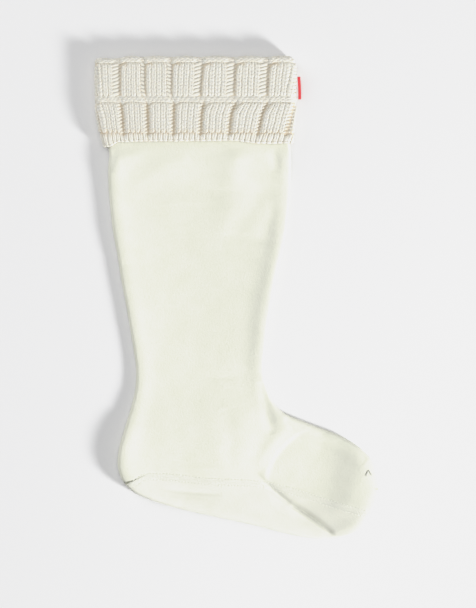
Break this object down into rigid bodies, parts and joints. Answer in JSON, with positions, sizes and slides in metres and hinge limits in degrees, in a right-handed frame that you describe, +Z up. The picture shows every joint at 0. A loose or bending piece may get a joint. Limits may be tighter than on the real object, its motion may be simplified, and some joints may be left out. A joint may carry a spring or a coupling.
{
  "type": "boot sock",
  "caption": "Tall fleece boot sock with a turned-down cable-knit cuff, laid flat on its side, with a folded sole below a flat seam and a blank tab at the cuff's front edge",
  "frame": {"origin": "on the surface, under the middle of the laid sock's bounding box", "axes": "+X to the toe, +Y up the leg to the cuff, +Z up from the surface that the sock lies on"},
  "size_m": [0.2541, 0.4289, 0.0148],
  "materials": {
    "cream_fleece": "soft matt polar fleece, short nap",
    "sole_fleece": "soft matt polar fleece, short nap",
    "oatmeal_knit": "matt cable knit",
    "red_ribbon": "woven ribbon, faint sheen"
  },
  "bodies": {
    "root": {"leg_and_foot": "cream_fleece", "sole": "sole_fleece", "knit_cuff": "oatmeal_knit", "label_tab": "red_ribbon"}
  },
  "joints": []
}
